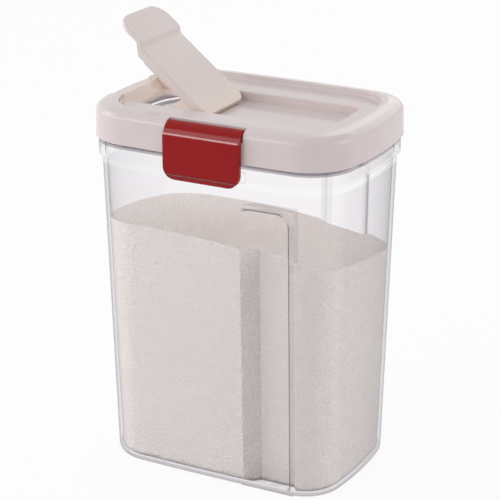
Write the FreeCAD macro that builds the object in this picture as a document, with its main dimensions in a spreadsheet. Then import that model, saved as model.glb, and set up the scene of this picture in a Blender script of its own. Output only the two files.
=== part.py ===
import FreeCAD, Part

import math
import os

import Sketcher
from FreeCAD import Placement, Rotation, Vector

# Sugar keeper: a clear rounded-rectangular canister, a cream lid hinged at the back,
# a red latch at the front and a flip cap over the pour opening.
# Millimetres. +Z is up, -Y is the latch side, and the pour opening is at the -X end.
# The origin is the middle of the base.

os.makedirs("parts", exist_ok=True)
doc = FreeCAD.newDocument("sugar_keeper")


# Driving dimensions

SIZES = {
    # outlines: the container's foot and shoulder, its collar, its neck, the lid and the lid's crest
    "foot_length": 124.55,
    "foot_width": 81.65,
    "foot_corner": 20.4,
    "body_length": 131.84,
    "body_width": 89.42,
    "body_corner": 20.5,
    "collar_length": 135.2,
    "collar_width": 92.8,
    "collar_corner": 21.8,
    "neck_length": 133.2,
    "neck_width": 90.8,
    "neck_corner": 20.8,
    "lid_length": 138.26,
    "lid_width": 96.16,
    "lid_corner": 24.4,
    "crest_length": 117.6,
    "crest_width": 79.0,
    "crest_corner": 20.0,
    # the slight bow of every long side and every end
    "side_bow": 1270.0,
    "end_bow": 184.0,
    # container heights and walls
    "shoulder_low": 152.5,
    "shoulder_high": 157.0,
    "collar_top": 165.0,
    "neck_top": 173.5,
    "wall": 1.8,
    "neck_wall": 1.8,
    "floor": 2.2,
    "foot_round": 4.3,
    "foot_land": 0.1,
    # finger grips, one on each long side
    "grip_left": 18.5,
    "grip_slope": 26.0,
    "grip_right": 42.2,
    "grip_low": 4.6,
    "grip_high": 143.2,
    "grip_depth": 6.2,
    "grip_round": 6.5,
    "grip_wall": 1.8,
    "grip_edge": 0.6,
    # catch bar
    "bar_half": 21.3,
    "bar_low": 157.2,
    "bar_high": 162.2,
    "bar_face": 48.4,
    # lid
    "skirt_low": 166.0,
    "skirt_wall": 1.5,
    "seat": 175.0,
    "rim_top": 182.2,
    "rim_round": 4.0,
    "rim_slope": 7.2,
    "rim_drop": 1.1,
    "crest_round": 0.8,
    "skirt_draft": 1.5,
    "tray_floor": 179.3,
    "panel": 2.0,
    "tray_round": 1.2,
    "trough_half": 20.2,
    "trough_corner": 4.0,
    "trough_left": 62.0,
    "notch_half": 19.5,
    "notch_right": 56.8,
    "trough_edge": 0.8,
    "trough_floor": 174.9,
    "trough_right": 49.0,
    "notch_floor": 179.4,
    "ramp_top": 62.8,
    "ramp_foot": 58.4,
    "pour_left": 57.0,
    "pour_right": 41.0,
    "pour_half": 17.0,
    "pour_corner": 4.0,
    "rib": 1.2,
    "rib_low": 173.9,
    "well_left": 4.6,
    "well_right": 4.7,
    "well_depth": 2.5,
    # flip cap, drawn closed and then opened about its hinge
    "cap_axis_x": -16.6,
    "cap_axis_z": 176.9,
    "cap_open": 38.3,
    "cap_half": 18.8,
    "cap_root": 13.4,
    "cap_step": 59.9,
    "cap_tip": 77.0,
    "cap_face": 179.65,
    "cap_bottom": 175.35,
    "cap_plate": 2.0,
    "cap_wall": 1.8,
    "cap_edge": 0.7,
    "step_round": 2.2,
    "step_near": 1.2,
    "step_far": 1.1,
    "under_near": 2.3,
    "under_far": 2.3,
    "cap_hollow_left": 3.4,
    "cap_hollow_right": 4.5,
    "root_bevel": 1.6,
    "seal_low": 1.5,
    "seal_gap": 0.6,
    "seal_left": 0.5,
    "head_plate": 2.4,
    "tip_round": 9.3,
    "root_round": 5.0,
    "cap_pin": 1.25,
    # latch
    "latch_x": 1.3,
    "latch_half": 19.7,
    "latch_face": 51.5,
    "latch_bottom": 154.4,
    "latch_plate": 2.1,
    "latch_bend": 8.0,
    "latch_bend_low": 174.2,
    "latch_corner": 6.5,
    "latch_edge": 0.5,
    "latch_bevel": 157.0,
    "latch_bevel_in": 0.7,
    "latch_heel": 0.6,
    "latch_axis_y": -45.3,
    "latch_axis_z": 179.6,
    "latch_barrel": 1.9,
    "latch_swing": 0.6,
    "latch_seat": 176.1,
    "latch_pin": 0.9,
    "latch_pin_end": 2.3,
    "flange": 1.4,
    "flange_top": 177.5,
    "lip_reach": 48.55,
    "lip_high": 156.2,
    "lip_slope": 0.4,
    "lip_root": 0.6,
    # lid hinge at the back
    "hinge_y": 49.1,
    "hinge_z": 162.2,
    "hinge_barrel": 2.4,
    "hinge_pin": 1.2,
    "knuckle_half": 14.0,
    "ear_outer": 26.0,
    "ear_gap": 0.4,
    "ear_lap": 2.0,
    "ear_shoulder": 1.0,
    "ear_rise": 5.0,
    # silicone, sugar and clearances, and how far a cut runs past what it cuts
    "gasket_inset": 1.0,
    "gasket_width": 2.7,
    "fit": 0.05,
    "play": 0.4,
    "past": 1.0,
    "sugar_gap": 0.15,
    "sugar_dome": 500.0,
    "sugar_top": 126.0,
    "dome_reach": 150.0,
    "dome_drop": 23.0,
    "sugar_dome_x": -35.0,
    "sugar_dome_y": -60.0,
}

sheet = doc.addObject("Spreadsheet::Sheet", "Sizes")
for row, (name, number) in enumerate(SIZES.items(), start=1):
    sheet.set(f"A{row}", name)
    sheet.set(f"B{row}", str(number))
    sheet.setAlias(f"B{row}", name)
doc.recompute()


class Size:
    """A length that knows its value and the sheet expression that gives it."""

    def __init__(self, value, text):
        self.value = float(value)
        self.text = text

    @staticmethod
    def of(thing):
        return thing if isinstance(thing, Size) else Size(thing, repr(float(thing)))

    def __add__(self, other):
        other = Size.of(other)
        return Size(self.value + other.value, f"({self.text} + {other.text})")

    def __sub__(self, other):
        other = Size.of(other)
        return Size(self.value - other.value, f"({self.text} - {other.text})")

    def __mul__(self, other):
        other = Size.of(other)
        return Size(self.value * other.value, f"({self.text} * {other.text})")

    def __truediv__(self, other):
        other = Size.of(other)
        return Size(self.value / other.value, f"({self.text} / {other.text})")

    def __neg__(self):
        return Size(-self.value, f"(0 - {self.text})")

    __radd__ = __add__
    __rmul__ = __mul__


class Sheet:
    """Gives each cell of the sheet as a Size, by its alias."""

    def __getattr__(self, name):
        return Size(SIZES[name], f"Sizes.{name}")


v = Sheet()


# Helpers: bodies, sketches and features

def new_body(label):
    body = doc.addObject("PartDesign::Body", label)
    body.Label = label
    return body


def origin_plane(body, role):
    return next(f for f in body.Origin.OriginFeatures if f.Role == role)


def new_sketch(body, name, plane, offset):
    """A sketch on an origin plane of the body, moved along the plane's normal by offset."""
    sketch = body.newObject("Sketcher::SketchObject", name)
    sketch.AttachmentSupport = [(origin_plane(body, plane), "")]
    sketch.MapMode = "FlatFace"
    sketch.setExpression("AttachmentOffset.Base.z", Size.of(offset).text)
    return sketch


def pin_down(sketch, geometry, vertex, x, y):
    """Ties a vertex of the sketch to x and y, measured from the origin."""
    for kind, size in (("DistanceX", Size.of(x)), ("DistanceY", Size.of(y))):
        index = sketch.addConstraint(
            Sketcher.Constraint(kind, -1, 1, geometry, vertex, size.value)
        )
        sketch.setExpression(f"Constraints[{index}]", size.text)


def arc_between(a, b, radius):
    """The arc from a to b under a half circle, bulging to the right of the way from a to b."""
    chord = b - a
    sag = radius - math.sqrt(radius**2 - chord.Length**2 / 4)
    right = Vector(chord.y, -chord.x, 0).normalize()
    return Part.Arc(a, (a + b) / 2 + right * sag, b)


def outline(sketch, points):
    """A closed outline. Each point is (x, y) or (x, y, r), where r bends the side that follows it
    into an arc of that radius: to the right of the way round if r is positive, else to the left."""
    first = sketch.GeometryCount
    corners = [tuple(Size.of(value) for value in p) for p in points]
    places = [Vector(p[0].value, p[1].value, 0) for p in corners]
    count = len(corners)
    starts, ends = [], []
    for n, corner in enumerate(corners):
        a, b = places[n], places[(n + 1) % count]
        if len(corner) == 2:
            sketch.addGeometry(Part.LineSegment(a, b), False)
            starts.append(1)
            ends.append(2)
            continue
        bent = corner[2].value
        arc = arc_between(a, b, bent) if bent > 0 else arc_between(b, a, -bent)
        sketch.addGeometry(arc, False)
        # the sketcher stores every arc anticlockwise, so a start may be its second end
        begins_at_a = (sketch.Geometry[first + n].StartPoint - a).Length < 1e-6
        starts.append(1 if begins_at_a else 2)
        ends.append(2 if begins_at_a else 1)
    for n, corner in enumerate(corners):
        follower = (n + 1) % count
        sketch.addConstraint(
            Sketcher.Constraint(
                "Coincident", first + n, ends[n], first + follower, starts[follower]
            )
        )
    for n, corner in enumerate(corners):
        pin_down(sketch, first + n, starts[n], corner[0], corner[1])
        if len(corner) == 3:
            radius = corner[2] if corner[2].value > 0 else -corner[2]
            index = sketch.addConstraint(Sketcher.Constraint("Radius", first + n, radius.value))
            sketch.setExpression(f"Constraints[{index}]", radius.text)
    return sketch


def circle(sketch, x, y, radius):
    x, y, radius = Size.of(x), Size.of(y), Size.of(radius)
    index = sketch.addGeometry(
        Part.Circle(Vector(x.value, y.value, 0), Vector(0, 0, 1), radius.value), False
    )
    pin_down(sketch, index, 3, x, y)
    constraint = sketch.addConstraint(Sketcher.Constraint("Radius", index, radius.value))
    sketch.setExpression(f"Constraints[{constraint}]", radius.text)
    return sketch


def box_outline(sketch, left, low, right, high):
    return outline(sketch, [(left, low), (right, low), (right, high), (left, high)])


def bowed_outline(sketch, length, width, corner, inset=0.0):
    """A rounded rectangle with slightly bowed sides, drawn as eight arcs tangent to each other.
    Length and width are over the middles of the bows, and inset shrinks the whole outline."""
    inset = Size.of(inset)
    half_x = length / 2 - inset
    half_y = width / 2 - inset
    round_corner = corner - inset
    end = v.end_bow - inset
    side = v.side_bow - inset
    reach_x = end.value - round_corner.value
    reach_y = side.value - round_corner.value
    end_centre = half_x.value - end.value
    side_centre = half_y.value - side.value
    # a corner's centre lies on circles about the centres of the end's arc and the side's arc
    gap = math.hypot(end_centre, side_centre)
    along = (reach_x**2 - reach_y**2 + gap**2) / (2 * gap)
    across = math.sqrt(reach_x**2 - along**2)
    to_side = Vector(-end_centre, side_centre, 0) / gap
    turned = Vector(-to_side.y, to_side.x, 0)
    end_point = Vector(end_centre, 0, 0)
    middle = end_point + to_side * along
    centre = max((middle + turned * across, middle - turned * across), key=lambda p: p.x + p.y)
    on_end = end_point + (centre - end_point) * (end.value / reach_x)
    side_point = Vector(0, side_centre, 0)
    on_side = side_point + (centre - side_point) * (side.value / reach_y)
    quarters = ((1, 1), (-1, 1), (-1, -1), (1, -1))

    def angle(point, about):
        return math.atan2(point.y - about.y, point.x - about.x)

    def add_arc(about, radius, start, stop):
        base = Part.Circle(about, Vector(0, 0, 1), radius)
        return sketch.addGeometry(Part.ArcOfCircle(base, start, stop), False)

    end_angle = angle(on_end, end_point)
    side_angle = angle(on_side, side_point)
    corners, sides = [], []
    for n, (sx, sy) in enumerate(quarters):
        about = Vector(sx * centre.x, sy * centre.y, 0)
        start, stop = ((end_angle, side_angle), (math.pi - side_angle, math.pi - end_angle))[n % 2]
        turn = math.pi if n > 1 else 0.0
        corners.append(add_arc(about, round_corner.value, start + turn, stop + turn))
        if n % 2 == 0:
            about = Vector(0, sy * side_centre, 0)
            sides.append(add_arc(about, side.value, side_angle + turn, math.pi - side_angle + turn))
        else:
            about = Vector(sx * end_centre, 0, 0)
            start = math.pi - end_angle + turn
            stop = math.pi + end_angle + turn
            sides.append(add_arc(about, end.value, start, stop))
    for n in range(4):
        follower = corners[(n + 1) % 4]
        sketch.addConstraint(Sketcher.Constraint("Tangent", corners[n], 2, sides[n], 1))
        sketch.addConstraint(Sketcher.Constraint("Tangent", sides[n], 2, follower, 1))
        index = sketch.addConstraint(Sketcher.Constraint("Radius", corners[n], round_corner.value))
        sketch.setExpression(f"Constraints[{index}]", round_corner.text)
        radius = side if n % 2 == 0 else end
        index = sketch.addConstraint(Sketcher.Constraint("Radius", sides[n], radius.value))
        sketch.setExpression(f"Constraints[{index}]", radius.text)
        # each bow's centre stays on its axis, as far from the origin as its apex asks
        sign = (1, -1, -1, 1)[n]
        if n % 2 == 0:
            sketch.addConstraint(Sketcher.Constraint("PointOnObject", sides[n], 3, -2))
            apex = half_y - side
            kind = "DistanceY"
        else:
            sketch.addConstraint(Sketcher.Constraint("PointOnObject", sides[n], 3, -1))
            apex = half_x - end
            kind = "DistanceX"
        away = apex if sign > 0 else -apex
        index = sketch.addConstraint(Sketcher.Constraint(kind, -1, 1, sides[n], 3, away.value))
        sketch.setExpression(f"Constraints[{index}]", away.text)
    return sketch


def must_change(body, feature, before, grows):
    """Stops if the feature left the body's volume as it was, or changed it the wrong way."""
    doc.recompute()
    after = body.Shape.Volume
    if abs(after - before) < 1e-3 or (after > before) != grows:
        raise RuntimeError(f"{feature.Name} changed {body.Label} from {before:.1f} to {after:.1f}")


def extrude(kind, body, name, sketch, length, reverse=False, both=False, along=None, draft=None):
    before = body.Shape.Volume if body.Tip and body.Shape.Solids else 0.0
    feature = body.newObject(f"PartDesign::{kind}", name)
    feature.Profile = sketch
    feature.setExpression("Length", Size.of(length).text)
    feature.Reversed = reverse
    if both:
        feature.SideType = "Symmetric"
    if along is not None:
        feature.UseCustomVector = True
        feature.Direction = along
    if draft is not None:
        feature.setExpression("TaperAngle", draft.text)
    sketch.Visibility = False
    must_change(body, feature, before, kind == "Pad")
    return feature


def pad(body, name, sketch, length, **options):
    return extrude("Pad", body, name, sketch, length, **options)


def pocket(body, name, sketch, length, **options):
    return extrude("Pocket", body, name, sketch, length, **options)


def loft(kind, body, name, sketches):
    before = body.Shape.Volume if body.Tip and body.Shape.Solids else 0.0
    feature = body.newObject(f"PartDesign::{kind}Loft", name)
    feature.Profile = sketches[0]
    feature.Sections = sketches[1:]
    feature.Ruled = True
    must_change(body, feature, before, kind == "Additive")
    return feature


def edges_where(shape, test):
    """Names of the edges whose two ends and middle all pass the test."""
    names = []
    for n, edge in enumerate(shape.Edges, start=1):
        middle = edge.valueAt((edge.FirstParameter + edge.LastParameter) / 2)
        if all(test(p) for p in [vertex.Point for vertex in edge.Vertexes] + [middle]):
            names.append(f"Edge{n}")
    return names


def round_edges(body, name, radius, test):
    """Rounds every edge of the body that passes the test."""
    doc.recompute()
    base = body.Tip
    names = edges_where(base.Shape, test)
    if not names:
        raise RuntimeError(f"{name} finds no edge")
    feature = body.newObject("PartDesign::Fillet", name)
    feature.Base = (base, names)
    feature.setExpression("Radius", Size.of(radius).text)
    doc.recompute()
    if feature.Shape.isNull() or not feature.Shape.isValid() or "Invalid" in feature.State:
        raise RuntimeError(f"{name} fails on {names}")
    return feature


def slope_edges(body, name, across, down, test):
    """Cuts a slope at every edge that passes the test: across on the top face, down on the side."""
    doc.recompute()
    base = body.Tip
    names = edges_where(base.Shape, test)
    feature = body.newObject("PartDesign::Chamfer", name)
    feature.Base = (base, names)
    feature.ChamferType = "Two distances"
    feature.setExpression("Size", Size.of(down).text)
    feature.setExpression("Size2", Size.of(across).text)
    doc.recompute()
    if feature.Shape.isNull() or not feature.Shape.isValid() or "Invalid" in feature.State:
        raise RuntimeError(f"{name} fails on {names}")
    return feature


def near(a, b, tolerance=0.02):
    return abs(a - b) < tolerance


# Container: one clear moulding, with its grips, catch bar and hinge knuckle

def make_container():
    body = new_body("container")
    foot_ring = (v.foot_length, v.foot_width, v.foot_corner)
    foot = bowed_outline(new_sketch(body, "foot_outline", "XY_Plane", 0.0), *foot_ring)
    foot_height = v.foot_round + v.foot_land
    pad(body, "foot", foot, foot_height)
    round_edges(body, "foot_rounding", v.foot_round, lambda p: near(p.z, 0.0))
    rings = (
        ("wall", foot_height, *foot_ring),
        ("shoulder", v.shoulder_low, v.body_length, v.body_width, v.body_corner),
        ("collar_foot", v.shoulder_high, v.collar_length, v.collar_width, v.collar_corner),
        ("collar_head", v.collar_top, v.collar_length, v.collar_width, v.collar_corner),
    )
    sections = [
        bowed_outline(new_sketch(body, f"{name}_outline", "XY_Plane", height), *ring)
        for name, height, *ring in rings
    ]
    loft("Additive", body, "outer_wall", sections)
    neck = new_sketch(body, "neck_outline", "XY_Plane", v.collar_top)
    bowed_outline(neck, v.neck_length, v.neck_width, v.neck_corner)
    pad(body, "neck", neck, v.neck_top - v.collar_top)

    # catch bar under the latch, and the knuckle that carries the lid
    bar = new_sketch(body, "catch_bar_outline", "XY_Plane", v.bar_low)
    bar_left, bar_right = v.latch_x - v.bar_half, v.latch_x + v.bar_half
    box_outline(bar, bar_left, -v.bar_face, bar_right, -(v.collar_width / 2 - v.wall / 2))
    pad(body, "catch_bar", bar, v.bar_high - v.bar_low)
    web = new_sketch(body, "knuckle_profile", "YZ_Plane", 0.0)
    outline(
        web,
        [
            (v.collar_width / 2 - v.wall / 2, v.hinge_z - v.hinge_barrel),
            (v.hinge_y, v.hinge_z - v.hinge_barrel, v.hinge_barrel),
            (v.hinge_y + v.hinge_barrel, v.hinge_z, v.hinge_barrel),
            (v.hinge_y, v.hinge_z + v.hinge_barrel),
            (v.collar_width / 2 - v.wall / 2, v.hinge_z + v.hinge_barrel),
        ],
    )
    pad(body, "lid_knuckle", web, v.knuckle_half * 2, both=True)

    # cavity
    inner_round = v.foot_round - v.wall / 2
    basin = new_sketch(body, "basin_outline", "XY_Plane", v.floor)
    bowed_outline(basin, *foot_ring, v.wall)
    pocket(body, "basin", basin, inner_round + v.foot_land, reverse=True)
    basin_floor = SIZES["floor"]
    round_edges(body, "basin_rounding", inner_round, lambda p: near(p.z, basin_floor))
    hollow = (
        ("cavity_foot", v.floor + inner_round + v.foot_land, *foot_ring, v.wall),
        ("cavity_shoulder", v.shoulder_low, v.body_length, v.body_width, v.body_corner, v.wall),
        ("cavity_collar", v.shoulder_high, v.neck_length, v.neck_width, v.neck_corner, v.neck_wall),
        ("cavity_mouth", v.neck_top, v.neck_length, v.neck_width, v.neck_corner, v.neck_wall),
    )
    sections = [
        bowed_outline(new_sketch(body, f"{name}_outline", "XY_Plane", height), *ring)
        for name, height, *ring in hollow
    ]
    loft("Subtractive", body, "cavity", sections)

    # finger grips: a boss inside the cavity first, then the recess into it from outside
    lean = (SIZES["body_width"] - SIZES["foot_width"]) / 2 / SIZES["shoulder_low"]
    for side, name in ((-1, "front"), (1, "back")):
        up = Vector(0, side * lean, 1)
        skin = v.wall / 2
        face = (v.foot_width / 2 - skin) * side
        deep = (v.foot_width / 2 - v.grip_depth - v.grip_wall) * side
        boss = new_sketch(body, f"{name}_grip_boss_outline", "XY_Plane", v.floor / 2)
        left, right = v.grip_left - v.grip_wall, v.grip_right + v.grip_wall
        outline(
            boss,
            [(left, face), (right, face), (right, deep), (v.grip_slope - v.grip_wall, deep)],
        )
        height = v.grip_high + v.grip_wall - v.floor / 2
        pad(body, f"{name}_grip_boss", boss, height, along=up)
        recess = new_sketch(body, f"{name}_grip_outline", "XY_Plane", v.grip_low)
        drift = v.grip_low * (lean * side)
        outer = (v.foot_width / 2 + v.grip_depth) * side + drift
        rim = v.foot_width / 2 * side + drift
        bed = (v.foot_width / 2 - v.grip_depth) * side + drift
        outline(
            recess,
            [
                (v.grip_left, outer),
                (v.grip_right, outer),
                (v.grip_right, bed),
                (v.grip_slope, bed),
                (v.grip_left, rim),
            ],
        )
        pocket(body, f"{name}_grip", recess, v.grip_high - v.grip_low, along=up)
    grip_end, grip_top = SIZES["grip_right"], SIZES["grip_high"]
    round_edges(
        body, "grip_corners", v.grip_round, lambda p: near(p.x, grip_end) and near(p.z, grip_top)
    )

    def on_mouth(p):
        """True near the edge where a grip meets the outside, at its end and its top."""
        slack, bow = 0.05, 1.8
        skin = SIZES["foot_width"] / 2 + lean * p.z
        beside = SIZES["grip_left"] - slack * 10 < p.x < grip_end + slack
        upright = SIZES["grip_low"] - slack < p.z < grip_top + slack
        on_ramp = p.x < SIZES["grip_slope"] and p.z < grip_top - slack
        on_sill = near(p.z, SIZES["grip_low"]) and p.x < grip_end - slack
        return beside and upright and abs(p.y) > skin - bow and not on_ramp and not on_sill

    round_edges(body, "grip_edges", v.grip_edge, on_mouth)

    pin_hole = new_sketch(body, "pin_hole_outline", "YZ_Plane", 0.0)
    circle(pin_hole, v.hinge_y, v.hinge_z, v.hinge_pin + v.fit / 2)
    pocket(body, "pin_hole", pin_hole, (v.knuckle_half + v.past) * 2, both=True)
    return body


# Lid: skirt, rim, sunken tray, trough for the cap, pour opening, latch pocket and hinge ears

def make_lid():
    body = new_body("lid")
    lid = (v.lid_length, v.lid_width, v.lid_corner)
    crest = (v.crest_length, v.crest_width, v.crest_corner)
    blank = bowed_outline(new_sketch(body, "lid_outline", "XY_Plane", v.skirt_low), *lid)
    pad(body, "blank", blank, v.rim_top - v.skirt_low, draft=-v.skirt_draft)
    top = SIZES["rim_top"]
    slope_edges(body, "rim_slope", v.rim_slope, v.rim_drop, lambda p: near(p.z, top))
    slope_foot = top - SIZES["rim_drop"]
    round_edges(body, "rim_rounding", v.rim_round, lambda p: near(p.z, slope_foot))

    # underside: over the neck, then up to the tray's panel
    skirt = new_sketch(body, "skirt_outline", "XY_Plane", v.skirt_low)
    bowed_outline(skirt, *lid, v.skirt_wall)
    pocket(body, "skirt_hollow", skirt, v.seat - v.skirt_low, reverse=True)
    hollow = new_sketch(body, "hollow_outline", "XY_Plane", v.seat)
    bowed_outline(hollow, *crest, -v.panel)
    pocket(body, "panel_hollow", hollow, v.tray_floor - v.panel - v.seat, reverse=True)
    rib = new_sketch(body, "rib_outline", "XY_Plane", v.rib_low)
    bowed_outline(rib, *crest, -v.panel - v.rib)
    bowed_outline(rib, *crest, -v.panel)
    pad(body, "gasket_rib", rib, v.seat - v.rib_low)

    # trough under the cap, with a deeper pocket for its root
    outer = v.trough_half + v.panel
    tub = new_sketch(body, "trough_outline", "XY_Plane", v.trough_floor - v.panel)
    box_outline(tub, -v.trough_left, -outer, v.trough_right + v.panel, outer)
    pad(body, "trough_walls", tub, v.tray_floor - v.panel / 2 - v.trough_floor + v.panel)
    well_left, well_right = v.cap_axis_x - v.well_left, v.cap_axis_x + v.well_right
    well = new_sketch(body, "well_outline", "XY_Plane", v.trough_floor - v.panel - v.well_depth)
    box_outline(well, well_left - v.panel, -outer, well_right + v.panel, outer)
    pad(body, "well_walls", well, v.well_depth + v.panel / 4)
    tray = bowed_outline(new_sketch(body, "tray_outline", "XY_Plane", v.tray_floor), *crest)
    pocket(body, "tray", tray, v.rim_top - v.tray_floor + v.past, reverse=True)
    inside_x, inside_y = SIZES["crest_length"] / 2 + 0.1, SIZES["crest_width"] / 2 + 0.1

    def on_tray(p):
        return abs(p.x) < inside_x and abs(p.y) < inside_y

    round_edges(body, "crest_rounding", v.crest_round, lambda p: near(p.z, top) and on_tray(p))
    tray_low = SIZES["tray_floor"]
    round_edges(body, "tray_rounding", v.tray_round, lambda p: near(p.z, tray_low) and on_tray(p))

    # the trough's floor runs up a ramp to a notch in the rim, where the cap's tab rests
    notch = new_sketch(body, "notch_profile", "XZ_Plane", 0.0)
    above = v.rim_top + v.past
    box_outline(notch, -v.lid_length / 2 - v.past * 2, v.notch_floor, -v.notch_right, above)
    pocket(body, "notch", notch, v.notch_half * 2, both=True)
    channel = new_sketch(body, "channel_profile", "XZ_Plane", 0.0)
    outline(
        channel,
        [
            (-v.ramp_top, v.notch_floor),
            (-v.ramp_foot, v.trough_floor),
            (v.trough_right, v.trough_floor),
            (v.trough_right, v.tray_floor + v.crest_round),
            (-v.ramp_foot, v.tray_floor + v.crest_round),
            (-v.ramp_top, v.notch_floor + v.crest_round),
        ],
    )
    pocket(body, "channel", channel, v.trough_half * 2, both=True)
    trough_end, trough_side = SIZES["trough_right"], SIZES["trough_half"]
    round_edges(
        body,
        "trough_corners",
        v.trough_corner,
        lambda p: near(p.x, trough_end) and near(abs(p.y), trough_side),
    )
    trough_low = SIZES["trough_floor"]
    round_edges(
        body,
        "trough_rounding",
        v.trough_edge,
        lambda p: p.x > 0.0
        and abs(p.y) < trough_side + 0.1
        and p.x < trough_end + 0.1
        and near(p.z, tray_low),
    )
    cap_well = new_sketch(body, "cap_well_outline", "XY_Plane", v.trough_floor - v.well_depth)
    box_outline(cap_well, well_left, -v.trough_half, well_right, v.trough_half)
    pocket(body, "cap_well", cap_well, v.tray_floor - v.trough_floor, reverse=True)
    pour = new_sketch(body, "pour_outline", "XY_Plane", v.trough_floor + v.past)
    box_outline(pour, -v.pour_left, -v.pour_half, -v.pour_right, v.pour_half)
    pocket(body, "pour_opening", pour, v.panel + v.past * 2)
    left, right, half = -SIZES["pour_left"], -SIZES["pour_right"], SIZES["pour_half"]
    round_edges(
        body,
        "pour_corners",
        v.pour_corner,
        lambda p: (near(p.x, left) or near(p.x, right)) and near(abs(p.y), half),
    )

    # latch pocket in the front of the rim, and the ears of the hinge at the back
    latch_gap = new_sketch(body, "latch_pocket_outline", "XY_Plane", v.latch_seat)
    half = v.latch_half + v.play
    behind = v.latch_axis_y + v.latch_barrel + v.latch_swing
    ahead = -v.lid_width / 2 - v.past * 2
    box_outline(latch_gap, v.latch_x - half, ahead, v.latch_x + half, behind)
    pocket(body, "latch_pocket", latch_gap, v.rim_top - v.latch_seat + v.past, reverse=True)
    latch_hole = new_sketch(body, "latch_pin_hole", "YZ_Plane", v.latch_x)
    circle(latch_hole, v.latch_axis_y, v.latch_axis_z, v.latch_pin + v.fit / 2)
    bore_length = (v.latch_half + v.latch_pin_end) * 2 + v.play
    pocket(body, "latch_pin_bore", latch_hole, bore_length, both=True)
    cap_hole = new_sketch(body, "cap_pin_hole", "XZ_Plane", 0.0)
    circle(cap_hole, v.cap_axis_x, v.cap_axis_z, v.cap_pin + v.fit / 2)
    pocket(body, "cap_pin_bore", cap_hole, outer * 2, both=True)
    inner = v.knuckle_half + v.ear_gap
    ear_length = v.ear_outer - inner
    for side, name in ((-1, "left"), (1, "right")):
        offset = inner if side > 0 else -v.ear_outer
        ear = new_sketch(body, f"{name}_ear_profile", "YZ_Plane", offset)
        back = v.lid_width / 2 - v.skirt_wall / 2
        outline(
            ear,
            [
                (v.hinge_y - v.hinge_barrel, v.skirt_low + v.ear_lap),
                (v.hinge_y - v.hinge_barrel, v.hinge_z, v.hinge_barrel),
                (v.hinge_y, v.hinge_z - v.hinge_barrel, v.hinge_barrel),
                (v.hinge_y + v.hinge_barrel, v.hinge_z),
                (v.hinge_y + v.hinge_barrel, v.skirt_low + v.ear_shoulder),
                (back, v.skirt_low + v.ear_rise),
                (back, v.skirt_low + v.ear_lap),
            ],
        )
        pad(body, f"{name}_ear", ear, ear_length)
    ear_hole = new_sketch(body, "ear_pin_hole", "YZ_Plane", 0.0)
    circle(ear_hole, v.hinge_y, v.hinge_z, v.hinge_pin + v.fit)
    pocket(body, "ear_bore", ear_hole, (v.ear_outer + v.past) * 2, both=True)
    return body


# Gasket: a silicone ring between the container's neck and the lid

def make_gasket():
    body = new_body("lid_gasket")
    ring = new_sketch(body, "ring_outline", "XY_Plane", v.neck_top)
    lid = (v.lid_length, v.lid_width, v.lid_corner)
    start = v.skirt_wall + v.gasket_inset
    bowed_outline(ring, *lid, start)
    bowed_outline(ring, *lid, start + v.gasket_width)
    pad(body, "ring", ring, v.seat - v.neck_top)
    return body


# Flip cap and its seal, drawn closed and then opened about the pin

def opened():
    """The placement that turns a piece drawn closed to its rest angle about the cap's hinge."""
    hinge = Vector(SIZES["cap_axis_x"], 0, SIZES["cap_axis_z"])
    return Placement(Vector(0, 0, 0), Rotation(Vector(0, 1, 0), SIZES["cap_open"]), hinge)


def make_flip_cap():
    body = new_body("flip_cap")
    side = new_sketch(body, "cap_profile", "XZ_Plane", 0.0)
    step = -v.cap_step
    under = v.rim_top - v.head_plate
    outline(
        side,
        [
            (-v.cap_root, v.cap_face),
            (step + v.step_near, v.cap_face),
            (step - v.step_far, v.rim_top),
            (-v.cap_tip, v.rim_top),
            (-v.cap_tip, under),
            (step - v.under_far, under),
            (step + v.under_near, v.cap_bottom),
            (-v.cap_root - v.root_bevel, v.cap_bottom),
            (-v.cap_root, v.cap_bottom + v.root_bevel),
        ],
    )
    pad(body, "cap_block", side, v.cap_half * 2, both=True)
    tip, root, half = -SIZES["cap_tip"], -SIZES["cap_root"], SIZES["cap_half"]
    round_edges(
        body, "tip_corners", v.tip_round, lambda p: near(p.x, tip) and near(abs(p.y), half)
    )
    round_edges(
        body, "root_corners", v.root_round, lambda p: near(p.x, root) and near(abs(p.y), half)
    )
    step_foot = (-SIZES["cap_step"] + SIZES["step_near"], SIZES["cap_face"])
    step_head = (-SIZES["cap_step"] - SIZES["step_far"], SIZES["rim_top"])
    round_edges(
        body,
        "step_rounding",
        v.step_round,
        lambda p: any(near(p.x, x) and near(p.z, z) for x, z in (step_foot, step_head)),
    )
    face = SIZES["cap_face"]

    def on_rim(p):
        at_end = p.x < tip + SIZES["tip_round"] or p.x > root - SIZES["root_round"]
        return p.z > face - 0.01 and (at_end or abs(p.y) > half - 0.02)

    round_edges(body, "cap_edges", v.cap_edge, on_rim)
    hollow = new_sketch(body, "cap_hollow_outline", "XY_Plane", v.cap_bottom)
    inner = v.cap_half - v.cap_wall
    box_outline(
        hollow, step + v.cap_hollow_left, -inner, v.cap_axis_x - v.cap_hollow_right, inner
    )
    pocket(body, "cap_hollow", hollow, v.cap_face - v.cap_plate - v.cap_bottom, reverse=True)
    bore = new_sketch(body, "cap_bore_outline", "XZ_Plane", 0.0)
    circle(bore, v.cap_axis_x, v.cap_axis_z, v.cap_pin + v.fit)
    pocket(body, "cap_bore", bore, (v.cap_half + v.past) * 2, both=True)
    body.Placement = opened()
    return body


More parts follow.
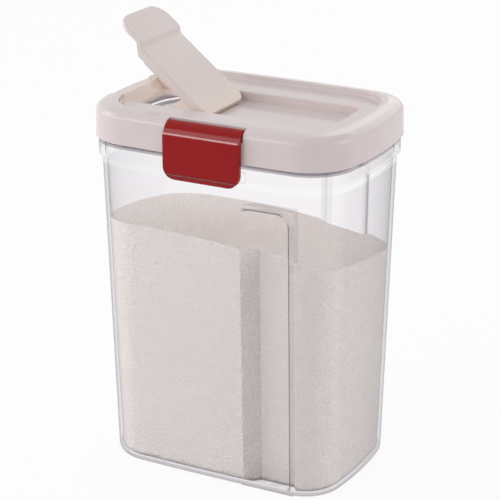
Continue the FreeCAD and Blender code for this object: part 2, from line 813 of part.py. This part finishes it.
def make_cap_seal():
    body = new_body("flip_cap_seal")
    low = v.trough_floor - v.seal_low
    plug = new_sketch(body, "plug_outline", "XY_Plane", low)
    gap = v.seal_gap
    left, right, side = -v.pour_left + gap + v.seal_left, -v.pour_right - gap, v.pour_half - gap
    box_outline(plug, left, -side, right, side)
    pad(body, "plug", plug, v.cap_face - v.cap_plate - low)
    round_edges(
        body,
        "plug_corners",
        v.pour_corner - gap,
        lambda p: (near(p.x, left.value) or near(p.x, right.value))
        and near(abs(p.y), side.value),
    )
    body.Placement = opened()
    return body


# Latch: a bent plate with a barrel for its pin at the top and a lip at the bottom

def on_latch_edge(p):
    """True on the edges that run round the latch's front face, less its top edge."""
    half, corner = SIZES["latch_half"], SIZES["latch_corner"]
    across = abs(p.x - SIZES["latch_x"])
    top = Vector(0, SIZES["latch_axis_y"], SIZES["latch_axis_z"] + SIZES["latch_barrel"])
    foot = Vector(0, -SIZES["latch_face"], SIZES["latch_bend_low"])
    bend = SIZES["latch_bend"]
    chord = foot - top
    inward = Vector(0, -chord.z, chord.y).normalize()
    centre = (top + foot) / 2 + inward * math.sqrt(bend**2 - chord.Length**2 / 4)
    if p.z > SIZES["latch_bend_low"] + 0.01:
        return near(across, half) and near(math.hypot(p.y - centre.y, p.z - centre.z), bend)
    in_corner = across > half - corner + 0.05 and p.z < SIZES["latch_bottom"] + corner
    return near(p.y, -SIZES["latch_face"]) and p.z > SIZES["latch_bevel"] - 0.01 and (
        near(across, half) or in_corner
    )


def make_latch():
    body = new_body("latch")
    side = new_sketch(body, "latch_profile", "YZ_Plane", v.latch_x)
    inner = v.latch_face - v.latch_plate
    axis_y, axis_z, barrel = v.latch_axis_y, v.latch_axis_z, v.latch_barrel
    heel_y, heel_z = -v.latch_face + v.latch_bevel_in, v.latch_bottom + v.latch_heel
    outline(
        side,
        [
            (axis_y, axis_z + barrel, v.latch_bend),
            (-v.latch_face, v.latch_bend_low),
            (-v.latch_face, v.latch_bevel),
            (heel_y, heel_z),
            (heel_y + v.latch_heel, v.latch_bottom),
            (-v.lip_reach, v.latch_bottom),
            (-v.lip_reach, v.lip_high - v.lip_slope),
            (-inner, v.lip_high + v.lip_root),
            (-inner, v.latch_bend_low, v.latch_plate - v.latch_bend),
            (axis_y, axis_z - barrel, barrel),
            (axis_y + barrel, axis_z, barrel),
        ],
    )
    pad(body, "plate", side, v.latch_half * 2, both=True)
    for turn, name in ((-1, "left"), (1, "right")):
        start = v.latch_x - v.latch_half if turn < 0 else v.latch_x + v.latch_half - v.flange
        rib = new_sketch(body, f"{name}_flange_profile", "YZ_Plane", start)
        outline(
            rib,
            [
                (-inner - v.latch_plate / 4, v.lip_high - v.lip_slope),
                (-v.lip_reach, v.lip_high - v.lip_slope),
                (-v.lip_reach, v.flange_top),
                (axis_y - barrel / 2, v.flange_top + barrel / 4),
                (axis_y - barrel / 2, axis_z + barrel / 2),
                (-inner, v.flange_top + barrel / 4),
                (-inner - v.latch_plate / 4, v.latch_bend_low),
            ],
        )
        pad(body, f"{name}_flange", rib, v.flange)
    for turn, name in ((-1, "left"), (1, "right")):
        trim = new_sketch(body, f"{name}_corner_outline", "XZ_Plane", v.latch_face + v.past)
        edge = v.latch_x + v.latch_half * turn
        start = v.latch_x + (v.latch_half - v.latch_corner) * turn
        outline(
            trim,
            [
                (start, v.latch_bottom),
                (start, v.latch_bottom - v.past),
                (edge + turn, v.latch_bottom - v.past),
                (edge + turn, v.latch_bottom + v.latch_corner),
                (edge, v.latch_bottom + v.latch_corner, v.latch_corner * -turn),
            ],
        )
        pocket(body, f"{name}_corner", trim, v.latch_face - v.lip_reach + v.past * 2)
    round_edges(body, "face_edges", v.latch_edge, on_latch_edge)
    bore = new_sketch(body, "latch_bore_outline", "YZ_Plane", v.latch_x)
    circle(bore, axis_y, axis_z, v.latch_pin + v.fit)
    pocket(body, "latch_bore", bore, (v.latch_half + v.past) * 2, both=True)
    return body


# Hinge pins: plain rods

def make_pin(label, radius, length, centre, axis, degrees):
    rod = doc.addObject("Part::Cylinder", label)
    rod.Label = label
    rod.setExpression("Radius", radius.text)
    rod.setExpression("Height", length.text)
    half = Rotation(axis, degrees).multVec(Vector(0, 0, -length.value / 2))
    rod.Placement = Placement(centre + half, Rotation(axis, degrees))
    return rod


# Sugar: the filling, with a gentle dome, just clear of every wall

def make_sugar():
    body = new_body("sugar_fill")
    inset = v.wall + v.sugar_gap
    inner_round = v.foot_round - v.wall / 2
    foot_ring = (v.foot_length, v.foot_width, v.foot_corner)
    low = v.floor + v.sugar_gap
    foot = new_sketch(body, "sugar_foot_outline", "XY_Plane", low)
    bowed_outline(foot, *foot_ring, inset)
    pad(body, "sugar_foot", foot, inner_round + v.foot_land)
    bottom = SIZES["floor"] + SIZES["sugar_gap"]
    round_edges(body, "sugar_foot_rounding", inner_round, lambda p: near(p.z, bottom))
    rings = (
        ("start", low + inner_round + v.foot_land, *foot_ring),
        ("shoulder", v.shoulder_low, v.body_length, v.body_width, v.body_corner),
    )
    sections = [
        bowed_outline(new_sketch(body, f"sugar_{name}_outline", "XY_Plane", height), *ring, inset)
        for name, height, *ring in rings
    ]
    loft("Additive", body, "sugar_block", sections)
    lean = (SIZES["body_width"] - SIZES["foot_width"]) / 2 / SIZES["shoulder_low"]
    keep_out = v.grip_wall + v.sugar_gap * 2
    for side, name in ((-1, "front"), (1, "back")):
        notch = new_sketch(body, f"{name}_notch_outline", "XY_Plane", 0.0)
        outer = (v.foot_width / 2 + v.grip_depth) * side
        deep = (v.foot_width / 2 - v.grip_depth - keep_out) * side
        left, right = v.grip_left - keep_out, v.grip_right + keep_out
        rim = (v.foot_width / 2 - v.wall) * side
        outline(
            notch,
            [
                (left, outer),
                (right, outer),
                (right, deep),
                (v.grip_slope - keep_out, deep),
                (left, rim),
            ],
        )
        up = Vector(0, side * lean, 1)
        pocket(body, f"{name}_notch", notch, v.shoulder_low + v.past * 4, along=up)

    # the dome's profile, turned about its own upright axis, takes the top off
    dome = new_sketch(body, "dome_profile", "XZ_Plane", -v.sugar_dome_y)
    dome.setExpression("AttachmentOffset.Base.x", v.sugar_dome_x.text)
    outline(
        dome,
        [
            (0, v.sugar_top, -v.sugar_dome),
            (v.dome_reach, v.sugar_top - v.dome_drop),
            (v.dome_reach, v.shoulder_low + v.past),
            (0, v.shoulder_low + v.past),
        ],
    )
    before = body.Shape.Volume
    heap = body.newObject("PartDesign::Groove", "heap")
    heap.Profile = dome
    heap.ReferenceAxis = (dome, ["V_Axis"])
    heap.Angle = 360.0
    must_change(body, heap, before, False)
    return body


container = make_container()
lid = make_lid()
gasket = make_gasket()
flip_cap = make_flip_cap()
cap_seal = make_cap_seal()
latch = make_latch()
sugar = make_sugar()
flip_cap_pin = make_pin(
    "flip_cap_pin",
    v.cap_pin,
    (v.trough_half + v.panel) * 2 - v.play,
    Vector(SIZES["cap_axis_x"], 0, SIZES["cap_axis_z"]),
    Vector(1, 0, 0),
    90,
)
latch_pin = make_pin(
    "latch_pin",
    v.latch_pin,
    (v.latch_half + v.latch_pin_end) * 2,
    Vector(SIZES["latch_x"], SIZES["latch_axis_y"], SIZES["latch_axis_z"]),
    Vector(0, 1, 0),
    90,
)
lid_hinge_pin = make_pin(
    "lid_hinge_pin",
    v.hinge_pin,
    v.ear_outer * 2,
    Vector(0, SIZES["hinge_y"], SIZES["hinge_z"]),
    Vector(0, 1, 0),
    90,
)

doc.recompute()
pieces = [
    container, lid, gasket, flip_cap, cap_seal, latch, flip_cap_pin, latch_pin, lid_hinge_pin, sugar
]
for item in doc.Objects:
    if "Invalid" in item.State or "Error" in item.State:
        raise RuntimeError(f"{item.Name} is {item.State}")
for piece in pieces:
    if piece.Shape.isNull() or not piece.Shape.isValid():
        raise RuntimeError(f"{piece.Label} has no valid shape")
    box = piece.Shape.BoundBox
    print(
        f"{piece.Label}: {piece.Shape.Volume / 1000:.2f} cm3, {len(piece.Shape.Solids)} solid,"
        f" x {box.XMin:.1f} {box.XMax:.1f}, y {box.YMin:.1f} {box.YMax:.1f},"
        f" z {box.ZMin:.1f} {box.ZMax:.1f}"
    )
    piece.Shape.exportStep(f"parts/{piece.Label}.step")
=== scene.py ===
import math

import bpy
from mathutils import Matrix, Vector

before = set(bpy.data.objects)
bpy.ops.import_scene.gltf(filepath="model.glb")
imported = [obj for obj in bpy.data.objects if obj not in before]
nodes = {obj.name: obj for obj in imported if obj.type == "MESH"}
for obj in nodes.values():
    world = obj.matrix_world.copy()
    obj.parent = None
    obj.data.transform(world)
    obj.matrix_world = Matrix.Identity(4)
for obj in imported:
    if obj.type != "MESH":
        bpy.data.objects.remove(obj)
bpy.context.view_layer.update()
scene = bpy.context.scene


# Materials

def add_math(tree, operation, one, other):
    """A sum on two numbers or sockets."""
    node = tree.nodes.new("ShaderNodeMath")
    node.operation = operation
    for socket, value in zip(node.inputs, (one, other)):
        if isinstance(value, bpy.types.NodeSocket):
            tree.links.new(value, socket)
        else:
            socket.default_value = value
    return node.outputs["Value"]


class Material:
    """A node material, with short ways to add nodes and join them."""

    def __init__(self, name):
        self.data = bpy.data.materials.new(name)
        self.data.use_nodes = True
        self.tree = self.data.node_tree
        self.tree.nodes.clear()
        self.out = self.add("ShaderNodeOutputMaterial")

    def add(self, kind, inputs=None, **settings):
        node = self.tree.nodes.new(kind)
        for name, value in settings.items():
            setattr(node, name, value)
        for name, value in (inputs or {}).items():
            if isinstance(value, bpy.types.NodeSocket):
                self.tree.links.new(value, node.inputs[name])
            else:
                node.inputs[name].default_value = value
        return node

    def where(self):
        """The place in metres, in the row frame at rest."""
        return self.add("ShaderNodeTexCoord").outputs["Object"]

    def noise(self, scale, detail=2.0, rough=0.5, place=None):
        return self.add(
            "ShaderNodeTexNoise",
            {
                "Vector": place or self.where(),
                "Scale": scale,
                "Detail": detail,
                "Roughness": rough,
            },
        ).outputs["Fac"]

    def spread(self, fac, low, high, start=0.0, stop=1.0):
        """fac taken from start..stop to low..high, and held there outside."""
        return self.add(
            "ShaderNodeMapRange",
            {"Value": fac, "From Min": start, "From Max": stop, "To Min": low, "To Max": high},
        ).outputs["Result"]

    def blend(self, fac, one, other):
        """A mix of two fixed colours."""
        node = self.add("ShaderNodeMix", {"Factor": fac}, data_type="RGBA")
        node.inputs["A"].default_value = one
        node.inputs["B"].default_value = other
        return node.outputs["Result"]

    def maths(self, operation, one, other=0.0):
        return add_math(self.tree, operation, one, other)

    def axis(self, letter, outside=False):
        """The distance along X, Y or Z in millimetres, or its size alone."""
        parts = self.add("ShaderNodeSeparateXYZ", {"Vector": self.where()})
        place = self.maths("MULTIPLY", parts.outputs[letter], 1000.0)
        return self.maths("ABSOLUTE", place) if outside else place

    def band(self, place, low, high, soft):
        """1 between low and high, and 0 from soft outside them."""
        rising = self.spread(place, 0.0, 1.0, low - soft, low)
        falling = self.spread(place, 1.0, 0.0, high, high + soft)
        return self.maths("MULTIPLY", rising, falling)

    def tinted(self, fac, one, other):
        """The colour one, and the fixed colour other where fac is 1."""
        node = self.add("ShaderNodeMix", {"Factor": fac, "A": one}, data_type="RGBA")
        node.inputs["B"].default_value = other
        return node.outputs["Result"]

    def bump(self, height, distance, strength=1.0, after=None):
        """The normal over a relief of the given height in metres, on top of the one before."""
        inputs = {"Height": height, "Distance": distance, "Strength": strength}
        if after is not None:
            inputs["Normal"] = after
        return self.add("ShaderNodeBump", inputs).outputs["Normal"]

    def surface(self, shader):
        self.tree.links.new(shader, self.out.inputs["Surface"])
        return self.data


def linear(r, g, b, a=1.0):
    """Screen values from 0 to 255 as linear colour."""
    def one(c):
        c /= 255.0
        return c / 12.92 if c <= 0.04045 else ((c + 0.055) / 1.055) ** 2.4
    return (one(r), one(g), one(b), a)


# How far the roughness of a moulded plastic strays either way, and the height of a line in a
# mould in metres
UNEVEN = 0.03
LINE_HEIGHT = 0.0009


def moulded(name, light, dark, roughness, grain, level=0.3, tint=None, relief=None):
    """A moulded plastic: flow marks in its colour, uneven gloss and a fine grain. level is the
    strength of its gloss, as a number or as a mask. tint gives a second colour and the mask of
    where it lies, and relief the mask of a line in the mould."""
    m = Material(name)
    flow = m.noise(22.0, 3.0, 0.55)
    fine = m.noise(900.0, 2.0, 0.5)
    colour = m.blend(m.spread(flow, 0.0, 1.0, 0.3, 0.7), dark, light)
    if tint is not None:
        second, place = tint
        colour = m.tinted(place(m), colour, second)
    gloss = m.spread(m.noise(140.0, 2.0), roughness - UNEVEN, roughness + UNEVEN, 0.3, 0.7)
    normal = m.bump(fine, grain, 0.6, m.bump(flow, grain * 6, 0.35))
    if relief is not None:
        normal = m.bump(relief(m), LINE_HEIGHT, 1.0, normal)
    body = m.add(
        "ShaderNodeBsdfPrincipled",
        {
            "Base Color": colour,
            "Roughness": gloss,
            "IOR": 1.49,
            "Normal": normal,
            "Specular IOR Level": level(m) if callable(level) else level,
        },
    )
    return m.surface(body.outputs["BSDF"])


# Masks over a piece, in millimetres in its place at rest

def painted_glow_in_trough(m):
    """1 in the trough of the lid near the pour opening, which gets a lighter, warmer colour: a
    painted warm glow that stands in for light carried through the cream plastic into its shaded
    walls.
    """
    along = m.band(m.axis("X"), -63.0, -26.0, 3.0)
    across = m.spread(m.axis("Y", outside=True), 1.0, 0.0, 20.4, 21.2)
    low = m.band(m.axis("Z"), 174.6, 180.0, 0.8)
    return m.maths("MULTIPLY", m.maths("MULTIPLY", along, across), low)


def painted_glow_at_root(m):
    """1 at the hinged end of the flip cap, which gets a lighter, warmer colour: a painted warm
    glow near the lid.
    """
    return m.spread(m.axis("Z"), 1.0, 0.0, 177.0, 187.0)


def latch_gloss(m):
    """The gloss of the latch. It is raised along the bend and the line above the bevel, to place
    the highlights where the photo has them, and low elsewhere, to keep the red deep."""
    bend = m.band(m.axis("Z"), 176.2, 178.2, 0.6)
    return m.spread(m.maths("MAXIMUM", bend, latch_line(m)), 0.2, 1.0)


def latch_line(m):
    """1 on the line that runs across the latch above its bevel."""
    return m.band(m.axis("Z"), 156.8, 157.2, 0.5)


# Half the container's width at the foot, and how much that grows per millimetre up
HALF_FOOT = 40.8
LEAN = 0.0255


def grip_edge(m):
    """1 along the end and the top of each grip's mouth, where the wall turns inwards and a painted
    dark line lies.
    """
    x, z = m.axis("X"), m.axis("Z")
    face = m.maths("ADD", m.maths("MULTIPLY", z, LEAN), HALF_FOOT)
    inside = m.maths("SUBTRACT", face, m.axis("Y", outside=True))
    mouth = m.band(inside, -0.4, 1.8, 0.3)
    end = m.band(x, 41.6, 42.9, 0.3)
    top = m.band(z, 142.4, 143.9, 0.3)
    end = m.maths("MULTIPLY", end, m.band(z, 4.4, 138.0, 2.0))
    top = m.maths("MULTIPLY", top, m.band(x, 20.0, 38.0, 2.0))
    return m.maths("MULTIPLY", mouth, m.maths("MAXIMUM", end, top))


# Bands round the container, each with its low and high edge and softness in millimetres, and the
# colour it lets through: a painted highlight on the shoulder, a painted dark line in the gap under
# the lid and painted grey at the foot. With grip_edge this painted light and shade stands in for
# the bending of light, which the material leaves out
PAINTED_CLEAR_BANDS = (
    (153.5, 156.5, 1.0, (0.99, 0.99, 0.99, 1.0)),
    (163.5, 165.3, 0.3, (0.28, 0.25, 0.27, 1.0)),
    (-1.0, 3.2, 0.8, (0.52, 0.49, 0.52, 1.0)),
)


def clear_plastic():
    """Clear plastic that doesn't bend light and lets the lamps' light straight through. It darkens
    at grazing angles, partly where a ray runs far through the wall and partly as painted shade for
    the dark surroundings that the bending of light would show there."""
    m = Material("clear_plastic")
    ripple = m.noise(30.0, 2.0, 0.4)
    fine = m.noise(260.0, 2.0, 0.5)
    # Darker at grazing angles: partly the wall's depth, partly painted shade
    facing = m.add("ShaderNodeLayerWeight", {"Blend": 0.5}).outputs["Facing"]
    grazing_depth_and_shade = m.maths("POWER", facing, 3.0)
    height = m.axis("Z")
    colour = m.blend(grazing_depth_and_shade, (0.965, 0.955, 0.965, 1.0), (0.26, 0.24, 0.27, 1.0))
    # Painted highlight and painted shade in bands round the container
    for low, high, soft, tint in PAINTED_CLEAR_BANDS:
        colour = m.tinted(m.band(height, low, high, soft), colour, tint)
    # Painted dark line along the mouths of the grips
    colour = m.tinted(grip_edge(m), colour, (0.34, 0.32, 0.34, 1.0))
    body = m.add(
        "ShaderNodeBsdfPrincipled",
        {
            "Base Color": colour,
            "Roughness": m.spread(fine, 0.005, 0.02, 0.3, 0.7),
            "IOR": 1.0,
            "Transmission Weight": 1.0,
            "Coat Weight": 0.2,
            "Coat Roughness": 0.03,
            "Coat IOR": 1.5,
            "Coat Normal": m.bump(ripple, 0.00005, 0.5),
        },
    )
    through = m.add("ShaderNodeBsdfTransparent", {"Color": (0.995, 0.995, 0.995, 1.0)})
    path = m.add("ShaderNodeLightPath")
    mix = m.add("ShaderNodeMixShader", {0: path.outputs["Is Shadow Ray"]})
    m.tree.links.new(body.outputs["BSDF"], mix.inputs[1])
    m.tree.links.new(through.outputs["BSDF"], mix.inputs[2])
    return m.surface(mix.outputs["Shader"])


def sugar():
    """Grains of about a millimetre in clumps. The faces towards the long sides get a painted
    shade, a darker colour that matches their tone under these lamps and isn't a property of sugar."""
    m = Material("sugar")
    grain = m.add("ShaderNodeTexVoronoi", {"Vector": m.where(), "Scale": 950.0}, feature="F1")
    clump = m.noise(60.0, 4.0, 0.6)
    tone = m.spread(grain.outputs["Color"], 0.0, 1.0)
    colour = m.blend(tone, linear(243, 234, 226), linear(255, 253, 250))
    colour = m.tinted(m.spread(clump, 0.0, 0.35, 0.35, 0.7), colour, linear(251, 242, 235))
    # Painted shade on the faces towards the long sides
    outward = m.add("ShaderNodeNewGeometry").outputs["True Normal"]
    sideways = m.add("ShaderNodeSeparateXYZ", {"Vector": outward}).outputs["Y"]
    painted_side_shade = m.spread(m.maths("ABSOLUTE", sideways), 0.0, 0.7, 0.3, 0.95)
    colour = m.tinted(painted_side_shade, colour, linear(228, 223, 218))
    normal = m.bump(grain.outputs["Distance"], 0.0006, 0.8, m.bump(clump, 0.0012, 0.5))
    body = m.add(
        "ShaderNodeBsdfPrincipled",
        {
            "Base Color": colour,
            "Roughness": m.spread(tone, 0.35, 0.8),
            "IOR": 1.5,
            "Normal": normal,
        },
    )
    return m.surface(body.outputs["BSDF"])


def steel():
    """Drawn steel, with marks along the rod."""
    m = Material("steel")
    drawn = m.add("ShaderNodeMapping", {"Vector": m.where(), "Scale": (40.0, 40.0, 4000.0)})
    marks = m.noise(1.0, 3.0, 0.6, drawn.outputs["Vector"])
    body = m.add(
        "ShaderNodeBsdfPrincipled",
        {
            "Base Color": m.blend(marks, (0.5, 0.5, 0.5, 1.0), (0.66, 0.66, 0.66, 1.0)),
            "Metallic": 1.0,
            "Roughness": m.spread(marks, 0.29, 0.4),
            "Normal": m.bump(marks, 0.00002, 0.4),
        },
    )
    return m.surface(body.outputs["BSDF"])


looks = {
    "container": clear_plastic(),
    # The lid's tint is a painted warm glow in its trough
    "lid": moulded(
        "cream_plastic", linear(238, 225, 224), linear(234, 220, 219), 0.15, 0.00001,
        level=0.5, tint=(linear(252, 234, 222), painted_glow_in_trough),
    ),
    # The cap's tint is a painted warm glow at its hinged end
    "flip_cap": moulded(
        "cap_plastic", linear(242, 230, 227), linear(238, 225, 222), 0.36, 0.000012,
        tint=(linear(250, 234, 222), painted_glow_at_root),
    ),
    "latch": moulded(
        "red_plastic", linear(166, 12, 18), linear(156, 7, 12), 0.12, 0.000004,
        level=latch_gloss, relief=latch_line,
    ),
    "lid_gasket": moulded("silicone", linear(232, 232, 230), linear(222, 222, 220), 0.6, 0.00003),
    "sugar_fill": sugar(),
    "latch_pin": steel(),
}
looks["flip_cap_seal"] = looks["lid_gasket"]
looks["flip_cap_pin"] = looks["lid_hinge_pin"] = looks["latch_pin"]
for name, material in looks.items():
    mesh = nodes[name].data
    mesh.materials.clear()
    mesh.materials.append(material)


# Floor and room. Both show white to the camera and in gloss and clear plastic, and the room
# lights the object at the plain level ROOM. The floor shows SHARE of GLOW over its own shadow

ROOM = 0.47
FLOOR_HALF = 3.0
GLOW = 1.02
SHARE = 0.9


def seen_directly(tree):
    """1 for a ray from the camera, also by way of gloss or clear plastic, and 0 for one that
    has left a matt surface."""
    path = tree.nodes.new("ShaderNodeLightPath")
    seen = add_math(tree, "MAXIMUM", path.outputs["Is Camera Ray"], path.outputs["Is Glossy Ray"])
    seen = add_math(tree, "MAXIMUM", seen, path.outputs["Is Transmission Ray"])
    plain = add_math(tree, "LESS_THAN", path.outputs["Diffuse Depth"], 0.5)
    return add_math(tree, "MULTIPLY", seen, plain)


def make_floor():
    half = FLOOR_HALF
    mesh = bpy.data.meshes.new("floor")
    mesh.from_pydata(
        [(-half, -half, 0.0), (half, -half, 0.0), (half, half, 0.0), (-half, half, 0.0)],
        [],
        [(0, 1, 2, 3)],
    )
    m = Material("floor")
    tint = m.blend(m.noise(3.0), (0.86, 0.86, 0.86, 1.0), (0.88, 0.88, 0.88, 1.0))
    plain = m.add("ShaderNodeBsdfDiffuse", {"Color": tint})
    glow = m.add("ShaderNodeEmission", {"Color": (1.0, 1.0, 1.0, 1.0), "Strength": GLOW})
    share = add_math(m.tree, "MULTIPLY", seen_directly(m.tree), SHARE)
    mix = m.add("ShaderNodeMixShader", {0: share})
    m.tree.links.new(plain.outputs["BSDF"], mix.inputs[1])
    m.tree.links.new(glow.outputs["Emission"], mix.inputs[2])
    mesh.materials.append(m.surface(mix.outputs["Shader"]))
    floor = bpy.data.objects.new("floor", mesh)
    scene.collection.objects.link(floor)


def make_world():
    world = bpy.data.worlds.new("studio")
    scene.world = world
    world.use_nodes = True
    tree = world.node_tree
    tree.nodes.clear()
    shades = []
    for strength in (ROOM, 1.0):
        shade = tree.nodes.new("ShaderNodeBackground")
        shade.inputs["Color"].default_value = (1.0, 1.0, 1.0, 1.0)
        shade.inputs["Strength"].default_value = strength
        shades.append(shade.outputs["Background"])
    mix = tree.nodes.new("ShaderNodeMixShader")
    out = tree.nodes.new("ShaderNodeOutputWorld")
    tree.links.new(seen_directly(tree), mix.inputs[0])
    tree.links.new(shades[0], mix.inputs[1])
    tree.links.new(shades[1], mix.inputs[2])
    tree.links.new(mix.outputs["Shader"], out.inputs["Surface"])


make_floor()
make_world()


# Lamps: name, place, width, height and watts, all aimed at the canister's middle. Their powers
# and the pale colours above were set together to match the photo's tones, so the light is about
# 0.8 of the plain level and the colours are written lighter than they show

AIM = Vector((0.0, 0.0, 0.1))
LAMPS = (
    ("front_box", (-0.72, -1.36, 0.60), 1.3, 0.24, 4.3),
    ("left_box", (-1.5, -0.5, 0.75), 0.9, 1.1, 6.6),
    ("back_box", (0.2, 1.45, 0.85), 1.6, 0.8, 3.2),
    ("right_box", (1.55, 0.35, 0.6), 0.9, 1.1, 4.8),
    ("top_box", (0.0, 0.0, 1.6), 1.2, 1.2, 0.8),
)

for name, place, width, height, watts in LAMPS:
    data = bpy.data.lights.new(name, "AREA")
    data.shape = "RECTANGLE"
    data.size, data.size_y = width, height
    data.energy = watts
    lamp = bpy.data.objects.new(name, data)
    scene.collection.objects.link(lamp)
    lamp.location = place
    lamp.rotation_euler = (AIM - lamp.location).to_track_quat("-Z", "Y").to_euler()


# Camera, at the angle of the photograph

def make_camera():
    data = bpy.data.cameras.new("camera")
    data.sensor_width = 36.0
    data.lens = 141.05
    data.clip_start = 0.05
    camera = bpy.data.objects.new("camera", data)
    scene.collection.objects.link(camera)
    turn, rise, away = math.radians(27.85), math.radians(19.94), 0.9526
    target = Vector((0.00004, 0.0, 0.10621))
    camera.location = target + away * Vector(
        (math.sin(turn) * math.cos(rise), -math.cos(turn) * math.cos(rise), math.sin(rise))
    )
    camera.rotation_euler = (target - camera.location).to_track_quat("-Z", "Y").to_euler()
    scene.camera = camera


make_camera()
scene.view_settings.view_transform = "Standard"
